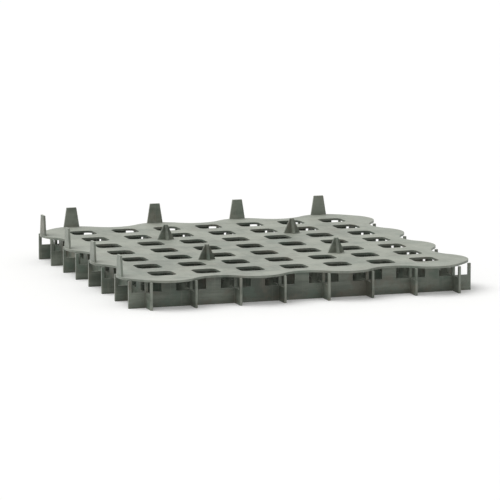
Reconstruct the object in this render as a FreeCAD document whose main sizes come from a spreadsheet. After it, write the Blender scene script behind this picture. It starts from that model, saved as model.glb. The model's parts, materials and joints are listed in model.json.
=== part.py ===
import FreeCAD, Part
import math
import os

# Grass paver grid, moulded in one piece, lying on its open rim with its flange and ground spikes upwards.
# The grid is square. X and Y run along its sides, and the origin is under the middle of the grid.
# Straight walls cross each other, and their ends run on past the outer crossings as ribs.
# The flange closes the top of the walls, has an opening over each cell, and waves out and in along its edges.

doc = FreeCAD.newDocument("grass_paver_grid")
sheet = doc.addObject("Spreadsheet::Sheet", "Sizes")

driving_sizes = {
    # walls
    "pitch": 62.5,                # crossing to crossing
    "waves": 4,                   # outward waves of each edge of the flange
    "wall_height": 37.0,
    "wall_thickness": 3.0,
    "rib_reach": 25.0,            # wall ends past the outer crossings
    # drainage windows in the walls, directly under the flange on both sides of each crossing
    "window_height": 16.0,
    "window_near": 2.0,           # from the crossing to the near end
    "window_far": 21.0,           # from the crossing to the far end
    # flange
    "flange_thickness": 3.0,
    "wave_offset": 18.75,         # from the outer crossings to the middle of the waves
    "wave_rise": 12.0,            # from the middle of the waves, out and in
    "opening_width": 35.0,        # square opening over each cell
    "opening_corner": 8.0,        # radius of its corners
    # ground spikes, two crossed tapered webs each, over round hollow sockets
    "spike_crossing": 2,          # crossings from the edge to the spike
    "spike_height": 21.0,
    "spike_base": 24.0,
    "spike_tip": 5.0,
    "spike_web": 3.0,
    "socket_bore": 26.0,
    "socket_wall": 2.0,
    # tapered plates on the crests of the back edge and of the left edge
    "tab_height": 28.0,
    "tab_base": 23.0,
    "tab_top": 14.0,
    "tab_thickness": 3.0,
    "tab_setback": 1.9,           # from the rim of the flange to the plate
}
for row, (alias, value) in enumerate(driving_sizes.items(), start=1):
    sheet.set(f"A{row}", alias)
    sheet.set(f"B{row}", str(value))
    sheet.setAlias(f"B{row}", alias)
doc.recompute()

half_pitch = sheet.pitch / 2
cells = 2 * int(sheet.waves) - 1
edge = cells * half_pitch         # outermost crossings, from the middle
grid_top = sheet.wall_height + sheet.flange_thickness
wave_line = edge + sheet.wave_offset
flank = 2 * math.atan(sheet.wave_rise / half_pitch)
corner_bulge = sheet.wave_offset / 2 * math.tan((math.radians(45) - flank) / 2)
cell_lines = [(2 * k + 1) * half_pitch - edge for k in range(cells)]
wall_lines = [2 * k * half_pitch - edge for k in range(cells + 1)]

right = FreeCAD.Vector(1, 0, 0)
back = FreeCAD.Vector(0, 1, 0)
up = FreeCAD.Vector(0, 0, 1)
# The four edges, counterclockwise: the way along each edge, then the way out.
edges_of_grid = ((right, -back), (back, right), (-right, back), (-back, -right))


def joined_wire(arcs):
    """Closed wire of arcs, with a straight piece wherever the next arc starts elsewhere."""
    pieces = []
    for (start, top, end), following in zip(arcs, arcs[1:] + arcs[:1]):
        pieces.append(Part.Arc(start, top, end).toShape())
        if end.distanceToPoint(following[0]) > 0.001:
            pieces.append(Part.LineSegment(end, following[0]).toShape())
    return Part.Wire(pieces)


def flange_outline():
    """Rim of the flange: waves that go out and in by turns, with a smooth turn at each corner."""
    arcs = []
    for along, outward in edges_of_grid:
        for number, place in enumerate(cell_lines):
            middle = outward * wave_line + along * place
            rise = sheet.wave_rise if number % 2 == 0 else -sheet.wave_rise
            arcs.append((middle - along * half_pitch, middle + outward * rise, middle + along * half_pitch))
        corner = (outward + along) * ((edge + wave_line) / 2 + corner_bulge)
        arcs.append((outward * wave_line + along * edge, corner, outward * edge + along * wave_line))
    return joined_wire(arcs)


def rounded_square(centre_x, centre_y):
    """Wire round the opening over a cell."""
    half = sheet.opening_width / 2
    straight = half - sheet.opening_corner
    slant = straight + sheet.opening_corner / math.sqrt(2)
    arcs = []
    for turn in (0, 90, 180, 270):
        place = FreeCAD.Placement(FreeCAD.Vector(centre_x, centre_y, 0), FreeCAD.Rotation(up, turn))
        corner = ((half, straight), (slant, slant), (straight, half))
        arcs.append(tuple(place.multVec(FreeCAD.Vector(x, y, 0)) for x, y in corner))
    return joined_wire(arcs)


def wall_outline():
    """Side view of one wall in X and Z, with a window on both sides of each crossing."""
    far_end = edge + sheet.rib_reach
    window_foot = sheet.wall_height - sheet.window_height
    corners = [(-far_end, 0), (-far_end, sheet.wall_height)]
    for crossing in wall_lines:
        for start, end in ((-sheet.window_far, -sheet.window_near), (sheet.window_near, sheet.window_far)):
            corners += [(crossing + start, sheet.wall_height), (crossing + start, window_foot),
                        (crossing + end, window_foot), (crossing + end, sheet.wall_height)]
    corners += [(far_end, sheet.wall_height), (far_end, 0)]
    points = [FreeCAD.Vector(x, 0, z) for x, z in corners]
    return Part.makePolygon(points + points[:1])


def feature(name, shape):
    """A document object that holds a shape worked out from the sheet."""
    obj = doc.addObject("Part::Feature", name)
    obj.Shape = shape
    return obj


def extrusion(name, plan, direction, length_alias):
    """A flat face drawn out by a length of the sheet."""
    obj = doc.addObject("Part::Extrusion", name)
    obj.Base = plan
    obj.DirMode = "Custom"
    obj.Dir = direction
    obj.Solid = True
    obj.setExpression("LengthFwd", f"Sizes.{length_alias}")
    return obj


def tapered_plate(name, sizes, foot, turn):
    """A flat plate on edge, narrower at its top, with its foot at a place on the flange."""
    base, top, height, thickness = sizes
    obj = doc.addObject("Part::Wedge", name)
    obj.setExpression("Xmin", f"-Sizes.{base} / 2")
    obj.setExpression("Xmax", f"Sizes.{base} / 2")
    obj.setExpression("X2min", f"-Sizes.{top} / 2")
    obj.setExpression("X2max", f"Sizes.{top} / 2")
    obj.Ymin = 0
    obj.setExpression("Ymax", f"Sizes.{height}")
    for low, high in (("Zmin", "Zmax"), ("Z2min", "Z2max")):
        obj.setExpression(low, f"-Sizes.{thickness} / 2")
        obj.setExpression(high, f"Sizes.{thickness} / 2")
    upright = FreeCAD.Rotation(right, 90)
    obj.Placement = FreeCAD.Placement(foot, FreeCAD.Rotation(up, turn) * upright)
    return obj


# Walls both ways, pierced by their windows.
wall_face = feature("wall_face", Part.Face(wall_outline()))
wall = extrusion("wall", wall_face, back, "wall_thickness")
doc.recompute()
half_wall = sheet.wall_thickness / 2
fused = []
for name, turn in (("walls_along_x", 0), ("walls_along_y", 90)):
    row_of_walls = []
    for line in wall_lines:
        copy = wall.Shape.copy()
        copy.translate(FreeCAD.Vector(0, line - half_wall, 0))
        copy.rotate(FreeCAD.Vector(), up, turn)
        row_of_walls.append(copy)
    fused.append(feature(name, Part.makeCompound(row_of_walls)))

# Flange on top of the walls.
flange_wires = [flange_outline()] + [rounded_square(x, y) for x in cell_lines for y in cell_lines]
flange_plan = feature("flange_plan", Part.makeFace(flange_wires, "Part::FaceMakerBullseye"))
flange_plan.Placement.Base.z = sheet.wall_height
fused.append(extrusion("flange", flange_plan, up, "flange_thickness"))

# Ground spikes on four inner crossings, each over its socket.
spike_place = edge - sheet.pitch * sheet.spike_crossing
spike_sizes = ("spike_base", "spike_tip", "spike_height", "spike_web")
bores = []
for x in (-spike_place, spike_place):
    for y in (-spike_place, spike_place):
        for turn in (0, 90):
            fused.append(tapered_plate("spike_web", spike_sizes, FreeCAD.Vector(x, y, grid_top), turn))
        socket = doc.addObject("Part::Cylinder", "socket")
        socket.setExpression("Radius", "Sizes.socket_bore / 2 + Sizes.socket_wall")
        bore = doc.addObject("Part::Cylinder", "socket_bore")
        bore.setExpression("Radius", "Sizes.socket_bore / 2")
        for cylinder in (socket, bore):
            cylinder.setExpression("Height", "Sizes.wall_height")
            cylinder.Placement.Base = FreeCAD.Vector(x, y, 0)
        fused.append(socket)
        bores.append(bore)

# Plates on the outward crests of the back edge and of the left edge.
tab_place = wave_line + sheet.wave_rise - sheet.tab_setback - sheet.tab_thickness / 2
tab_sizes = ("tab_base", "tab_top", "tab_height", "tab_thickness")
for place in cell_lines[::2]:
    fused.append(tapered_plate("back_tab", tab_sizes, FreeCAD.Vector(place, tab_place, grid_top), 0))
    fused.append(tapered_plate("left_tab", tab_sizes, FreeCAD.Vector(-tab_place, place, grid_top), 90))

body = doc.addObject("Part::MultiFuse", "body")
body.Shapes = fused
all_bores = doc.addObject("Part::Compound", "socket_bores")
all_bores.Links = bores
grid = doc.addObject("Part::Cut", "paver_grid")
grid.Base = body
grid.Tool = all_bores
grid.Refine = True
grid.Label = "paver_grid"
doc.recompute()

for obj in doc.Objects:
    if "Invalid" in obj.State or "Error" in obj.State:
        raise RuntimeError(f"{obj.Label} failed to build")
if grid.Shape.isNull() or not grid.Shape.isValid() or len(grid.Shape.Solids) != 1:
    raise RuntimeError("the grid is not one valid solid")

os.makedirs("parts", exist_ok=True)
grid.Shape.exportStep(f"parts/{grid.Label}.step")
size = grid.Shape.BoundBox
print(f"{grid.Label}: {size.XLength:.2f} x {size.YLength:.2f} x {size.ZLength:.2f} mm, "
      f"{grid.Shape.Volume / 1000:.1f} cm3, {len(grid.Shape.Faces)} faces")
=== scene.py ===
import json
import math

import bpy
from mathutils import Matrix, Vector


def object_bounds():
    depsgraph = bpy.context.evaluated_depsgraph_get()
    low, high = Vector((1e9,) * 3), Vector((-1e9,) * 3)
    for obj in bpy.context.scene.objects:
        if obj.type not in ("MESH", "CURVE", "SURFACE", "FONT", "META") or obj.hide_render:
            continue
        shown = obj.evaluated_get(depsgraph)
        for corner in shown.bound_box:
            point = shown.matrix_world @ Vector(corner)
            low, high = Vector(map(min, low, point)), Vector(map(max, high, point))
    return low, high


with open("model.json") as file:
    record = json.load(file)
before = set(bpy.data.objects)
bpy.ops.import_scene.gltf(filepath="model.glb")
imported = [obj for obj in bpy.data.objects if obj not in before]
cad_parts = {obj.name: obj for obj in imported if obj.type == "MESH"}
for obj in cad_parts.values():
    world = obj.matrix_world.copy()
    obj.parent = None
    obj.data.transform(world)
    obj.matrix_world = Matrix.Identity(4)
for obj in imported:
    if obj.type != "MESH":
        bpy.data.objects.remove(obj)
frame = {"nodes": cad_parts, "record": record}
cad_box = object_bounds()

# The grid is one piece of injection-moulded recycled plastic, dull grey-green, with its flange and spikes up.
# The mould leaves its edges slightly rounded, and the flange sinks a little where it cools over the walls.
# Its top is dusty and painted lighter as if lit from above, its rim and rib ends are rubbed pale by handling
# and carry a painted highlight, and dirt with painted shade stays in the inner corners.
grid = frame["nodes"]["paver_grid"]
cell_boxes = {opening["name"]: opening["box_m"] for opening in frame["record"]["physics"]["openings"]}
mount_places = {mount["name"]: mount["pos_m"] for mount in frame["record"]["mounts"]}
cells_across = 7
pitch = (cell_boxes["cell_7_1"][0][0] - cell_boxes["cell_1_1"][0][0]) / (cells_across - 1)
flange_top = mount_places["flange_face"][2]
flange_thickness = 0.003
rib_reach = 0.025
rib_end = cells_across * pitch / 2 + rib_reach
edge_rounding = 0.0007

plastic = bpy.data.materials.new("recycled_plastic")
plastic.use_nodes = True
plastic_nodes = plastic.node_tree.nodes
plastic_links = plastic.node_tree.links
plastic_nodes.clear()


def plastic_node(kind, inputs, **settings):
    """A node of the plastic; inputs are values or the outputs of other nodes."""
    node = plastic_nodes.new(kind)
    for name, value in settings.items():
        setattr(node, name, value)
    for socket, value in inputs.items():
        if isinstance(value, bpy.types.NodeSocket):
            plastic_links.new(value, node.inputs[socket])
        else:
            node.inputs[socket].default_value = value
    return node


def reckon(operation, first, second=0.0):
    """Arithmetic between two values."""
    return plastic_node("ShaderNodeMath", {0: first, 1: second}, operation=operation).outputs[0]


def times(first, second):
    """Product of two values."""
    return reckon("MULTIPLY", first, second)


def plus(first, second):
    """Sum of two values."""
    return reckon("ADD", first, second)


def ramp(value, zero_at, one_at):
    """From 0 to 1 between two values, either of which may be the larger, eased at both ends."""
    span = {"Value": value, "From Min": zero_at, "From Max": one_at}
    return plastic_node("ShaderNodeMapRange", span, interpolation_type="SMOOTHSTEP").outputs["Result"]


def tint(under, over, mask, most=1.0):
    """One colour laid over another, by at most the given share, where the mask is full."""
    mix = plastic_node("ShaderNodeMix", {0: times(mask, most), 6: under, 7: over}, data_type="RGBA")
    return mix.outputs[2]


def cloud(place, per_metre, detail, roughness=0.5):
    """Soft noise from 0 to 1, with about so many blotches in a metre."""
    shape = {"Vector": place, "Scale": per_metre, "Detail": detail, "Roughness": roughness}
    return plastic_node("ShaderNodeTexNoise", shape).outputs["Fac"]


def streaked_cloud(per_metre, detail, roughness):
    """Soft noise with its own number of blotches in a metre along each axis."""
    stretched = plastic_node("ShaderNodeMapping", {"Vector": place, "Scale": per_metre})
    return cloud(stretched.outputs["Vector"], 1.0, detail, roughness)


place = plastic_node("ShaderNodeTexCoord", {}).outputs["Object"]
across_x, across_y, height = plastic_node("ShaderNodeSeparateXYZ", {0: place}).outputs[0:3]
facing = plastic_node("ShaderNodeNewGeometry", {}).outputs["Normal"]
facing_up = plastic_node("ShaderNodeSeparateXYZ", {0: facing}).outputs[2]
upward = ramp(facing_up, 0.6, 0.95)
on_walls = ramp(reckon("ABSOLUTE", facing_up), 0.5, 0.1)
out_from_middle = reckon("MAXIMUM", reckon("ABSOLUTE", across_x), reckon("ABSOLUTE", across_y))

# Regrind marbles the plastic in long soft streaks and turns it browner or greener in patches, with flakes of
# other shades.
dark_plastic = (0.108, 0.126, 0.102, 1.0)
pale_plastic = (0.222, 0.245, 0.204, 1.0)
brown_plastic = (0.172, 0.160, 0.128, 1.0)
green_plastic = (0.128, 0.172, 0.138, 1.0)
flake_pale = (0.300, 0.315, 0.270, 1.0)
flake_dark = (0.070, 0.082, 0.068, 1.0)
streaks = streaked_cloud((9.0, 26.0, 60.0), 5.0, 0.6)
blotches = cloud(place, 7.0, 3.0)
marbling = ramp(plus(times(streaks, 0.6), times(blotches, 0.4)), 0.40, 0.60)
colour = tint(dark_plastic, pale_plastic, marbling)
patches = cloud(place, 24.0, 3.0, 0.6)
colour = tint(colour, brown_plastic, ramp(patches, 0.53, 0.63), most=0.65)
colour = tint(colour, green_plastic, ramp(patches, 0.47, 0.37), most=0.65)
flakes = cloud(place, 900.0, 2.0)
colour = tint(colour, flake_pale, ramp(flakes, 0.66, 0.74), most=0.5)
colour = tint(colour, flake_dark, ramp(flakes, 0.34, 0.27), most=0.5)

# Edges are rubbed paler, where the rounded normal leaves the true one.
# This pale colour is edge wear, and on the rim and rib ends also a painted highlight.
rubbed_and_highlight_plastic = (0.355, 0.380, 0.328, 1.0)
rubbed_width = 0.0014
rounded_facing = plastic_node("ShaderNodeBevel", {"Radius": rubbed_width}, samples=6).outputs[0]
likeness = plastic_node("ShaderNodeVectorMath", {0: rounded_facing, 1: facing}, operation="DOT_PRODUCT")
on_edge = ramp(likeness.outputs["Value"], 0.985, 0.90)
rub = times(on_edge, ramp(cloud(place, 55.0, 4.0), 0.40, 0.62))
colour = tint(colour, rubbed_and_highlight_plastic, rub, most=0.60)

# The rim of the flange and the ends of the ribs are rubbed all over by handling, and the same paler colour
# paints a highlight along these edges, where light catches them.
rim_foot = flange_top - flange_thickness
rim_starts = 0.212
rim_full = 0.222
fade = 0.0004
on_flange_side = ramp(height, rim_foot - fade, rim_foot + fade)
on_rim = times(on_flange_side, ramp(out_from_middle, rim_starts, rim_full))
on_rib_end = ramp(out_from_middle, rib_end - fade, rib_end)
handled_patches = ramp(cloud(place, 40.0, 5.0, 0.6), 0.28, 0.60)
handled_and_highlight = times(reckon("MAXIMUM", on_rim, on_rib_end), handled_patches)
# Painted highlight in part: the rim and rib ends are laid paler, partly wear and partly light.
colour = tint(colour, rubbed_and_highlight_plastic, handled_and_highlight, most=0.45)

# Pale dust lies on every face that looks up, thinner in wiped patches, and the same pale colour paints the up
# faces lighter, as painted top light.
dust_and_top_light_colour = (0.385, 0.405, 0.348, 1.0)
dust_and_top_light_in_wiped_patches = 0.34
dust_and_top_light_elsewhere = 0.58
dust_and_top_light_patches = ramp(cloud(place, 18.0, 8.0, 0.72), 0.36, 0.64)
dust_and_top_light = times(upward, plus(dust_and_top_light_in_wiped_patches, times(dust_and_top_light_patches, dust_and_top_light_elsewhere)))
# Painted light in part: up faces are laid paler, partly dust and partly light from above.
colour = tint(colour, dust_and_top_light_colour, dust_and_top_light)

# Rain has dried on the walls in pale upright runs, and splashed soil up their feet.
run_colour = (0.300, 0.300, 0.252, 1.0)
splash_colour = (0.170, 0.140, 0.098, 1.0)
splash_height = 0.022
runs = ramp(streaked_cloud((150.0, 150.0, 7.0), 5.0, 0.65), 0.54, 0.72)
colour = tint(colour, run_colour, times(runs, on_walls), most=0.45)
splashes = times(ramp(cloud(place, 330.0, 3.0, 0.6), 0.58, 0.66), ramp(height, splash_height, 0.0))
colour = tint(colour, splash_colour, times(splashes, on_walls), most=0.60)

# Soil dust browns the inner corners, and the same darkening paints shade into them, where little light
# reaches.
soil_and_shade_colour = (0.115, 0.105, 0.078, 1.0)
corner_reach = 0.012
openness = plastic_node("ShaderNodeAmbientOcclusion", {"Distance": corner_reach}, samples=6).outputs["AO"]
corner_dirt_and_shade = times(ramp(openness, 0.75, 0.25), ramp(cloud(place, 70.0, 4.0), 0.30, 0.70))
# Painted shade in part: the occluded corners are laid darker, partly soil and partly shade.
colour = tint(colour, soil_and_shade_colour, corner_dirt_and_shade, most=0.55)

# Scuffs on the flange, in several directions, from sliding about in storage.
scuff_colour = (0.520, 0.530, 0.470, 1.0)
scuff_length = 0.070
scuff_width = 0.0019
scuffs = 0.0
for direction in (4.0, 31.0, 83.0, 118.0):
    along_scuff = plastic_node("ShaderNodeMapping", {
        "Vector": place,
        "Rotation": (0.0, 0.0, math.radians(direction)),
        "Scale": (scuff_length, scuff_width, 1.0),
    }, vector_type="TEXTURE")
    scuff_lines = ramp(cloud(along_scuff.outputs["Vector"], 1.0, 3.0, 0.55), 0.655, 0.705)
    scuffs = reckon("MAXIMUM", scuffs, scuff_lines)
scuffed_patches = ramp(cloud(place, 13.0, 3.0), 0.42, 0.60)
scuffs = times(times(scuffs, scuffed_patches), upward)
colour = tint(colour, scuff_colour, scuffs, most=0.60)

# Relief: sink lines in the flange over the walls, round pin marks on the crossings, the grain of the mould,
# the flow of the plastic and the scuffs, over rounded edges.
sink_reach = 0.0042
sink_depth = 0.00022
pin_radius = 0.0046
pin_edge = 0.0003
pin_depth = 0.00016
grain_depth = 0.00012
flow_depth = 0.00030
scuff_depth = 0.00005
from_wall_x, from_wall_y = (
    reckon("ABSOLUTE", reckon("SUBTRACT", reckon("FLOORED_MODULO", across, pitch), pitch / 2))
    for across in (across_x, across_y))
sink = reckon("MAXIMUM", ramp(from_wall_x, sink_reach, 0.0), ramp(from_wall_y, sink_reach, 0.0))
from_crossing = reckon("SQRT", plus(reckon("POWER", from_wall_x, 2.0), reckon("POWER", from_wall_y, 2.0)))
pin_mark = ramp(from_crossing, pin_radius, pin_radius - pin_edge)
on_flange = times(upward, ramp(height, flange_top - 0.001, flange_top))
sink_relief = times(plus(times(sink, -sink_depth), times(pin_mark, -pin_depth)), on_flange)
grain_relief = times(cloud(place, 1300.0, 3.0), grain_depth)
flow_relief = times(streaks, flow_depth)
relief = plus(plus(sink_relief, grain_relief), plus(flow_relief, times(scuffs, -scuff_depth)))
moulded_edges = plastic_node("ShaderNodeBevel", {"Radius": edge_rounding}, samples=6).outputs[0]
surface = plastic_node("ShaderNodeBump", {
    "Height": relief,
    "Strength": 0.8,
    "Distance": 1.0,
    "Normal": moulded_edges,
})

# Dull all over: smoother on clean walls, chalky under dust and dirt.
clean_roughness = 0.42
chalkiness = plus(plus(times(blotches, 0.14), times(dust_and_top_light, 0.22)), times(corner_dirt_and_shade, 0.15))
shader = plastic_node("ShaderNodeBsdfPrincipled", {
    "Base Color": colour,
    "Roughness": plus(clean_roughness, chalkiness),
    "Normal": surface.outputs["Normal"],
    "IOR": 1.49,
    "Specular IOR Level": 0.38,
})
plastic_node("ShaderNodeOutputMaterial", {"Surface": shader.outputs["BSDF"]})
grid.data.materials.clear()
grid.data.materials.append(plastic)

# The floor is pale matte paper, round and wide enough to fill the picture from any side. The camera sees it
# lifted to white, and it keeps the soft shadow of the grid.
floor_reach = 40.0
floor_corners = 96
paper_colour = (0.86, 0.86, 0.85, 1.0)
paper_lift = 0.15
floor_points = []
for corner in range(floor_corners):
    turn = 2 * math.pi * corner / floor_corners
    floor_points.append((floor_reach * math.cos(turn), floor_reach * math.sin(turn), 0.0))
floor_mesh = bpy.data.meshes.new("paper_floor")
floor_mesh.from_pydata(floor_points, [], [tuple(range(floor_corners))])
floor = bpy.data.objects.new("paper_floor", floor_mesh)
bpy.context.collection.objects.link(floor)


def strength_as_seen(tree, lit, seen):
    """One strength as light on the grid, and another as seen by the camera, directly or mirrored."""
    ray = tree.nodes.new("ShaderNodeLightPath")
    in_sight = ray.outputs["Is Camera Ray"]
    for other_ray in ("Is Glossy Ray", "Is Transmission Ray"):
        either = tree.nodes.new("ShaderNodeMath")
        either.operation = "MAXIMUM"
        tree.links.new(in_sight, either.inputs[0])
        tree.links.new(ray.outputs[other_ray], either.inputs[1])
        in_sight = either.outputs[0]
    strength = tree.nodes.new("ShaderNodeMapRange")
    strength.inputs["To Min"].default_value = lit
    strength.inputs["To Max"].default_value = seen
    tree.links.new(in_sight, strength.inputs["Value"])
    return strength.outputs["Result"]


paper = bpy.data.materials.new("pale_paper")
paper.use_nodes = True
paper_tree = paper.node_tree
paper_shader = paper_tree.nodes["Principled BSDF"]
paper_shader.inputs["Base Color"].default_value = paper_colour
paper_shader.inputs["Roughness"].default_value = 0.9
paper_shader.inputs["Emission Color"].default_value = (1.0, 1.0, 1.0, 1.0)
paper_tree.links.new(strength_as_seen(paper_tree, 0.0, paper_lift), paper_shader.inputs["Emission Strength"])
floor_mesh.materials.append(paper)

# Soft studio light: an even white room, and one broad lamp far off, high on the left and a little behind.
room_light = 0.55
lamp_light = 1.6
lamp_spread = math.radians(48.0)
lamp_from = Vector((-1.1, 0.7, 2.3))
world = bpy.data.worlds.new("studio")
bpy.context.scene.world = world
world.use_nodes = True
room = world.node_tree.nodes["Background"]
room.inputs["Color"].default_value = (1.0, 1.0, 1.0, 1.0)
world.node_tree.links.new(strength_as_seen(world.node_tree, room_light, 1.0), room.inputs["Strength"])
lamp_data = bpy.data.lights.new("broad_lamp", "SUN")
lamp_data.energy = lamp_light
lamp_data.angle = lamp_spread
lamp = bpy.data.objects.new("broad_lamp", lamp_data)
lamp.location = lamp_from
lamp.rotation_euler = (-lamp_from).to_track_quat("-Z", "Y").to_euler()
bpy.context.collection.objects.link(lamp)

# Long lens from the front left, a little above the grid, as the photograph was taken.
view_azimuth = math.radians(-18.5)
view_elevation = math.radians(9.0)
view_distance = 6.0
aim = (Vector(cad_box[0]) + Vector(cad_box[1])) / 2
level = math.cos(view_elevation)
away = Vector((math.sin(view_azimuth) * level, -math.cos(view_azimuth) * level, math.sin(view_elevation)))
camera_data = bpy.data.cameras.new("camera")
camera_data.sensor_width = 36.0
camera_data.lens = 310.0
camera_data.clip_end = 100.0
camera = bpy.data.objects.new("camera", camera_data)
camera.location = aim + away * view_distance
camera.rotation_euler = (-away).to_track_quat("-Z", "Y").to_euler()
bpy.context.collection.objects.link(camera)
bpy.context.scene.camera = camera

bpy.context.scene.view_settings.view_transform = "Standard"
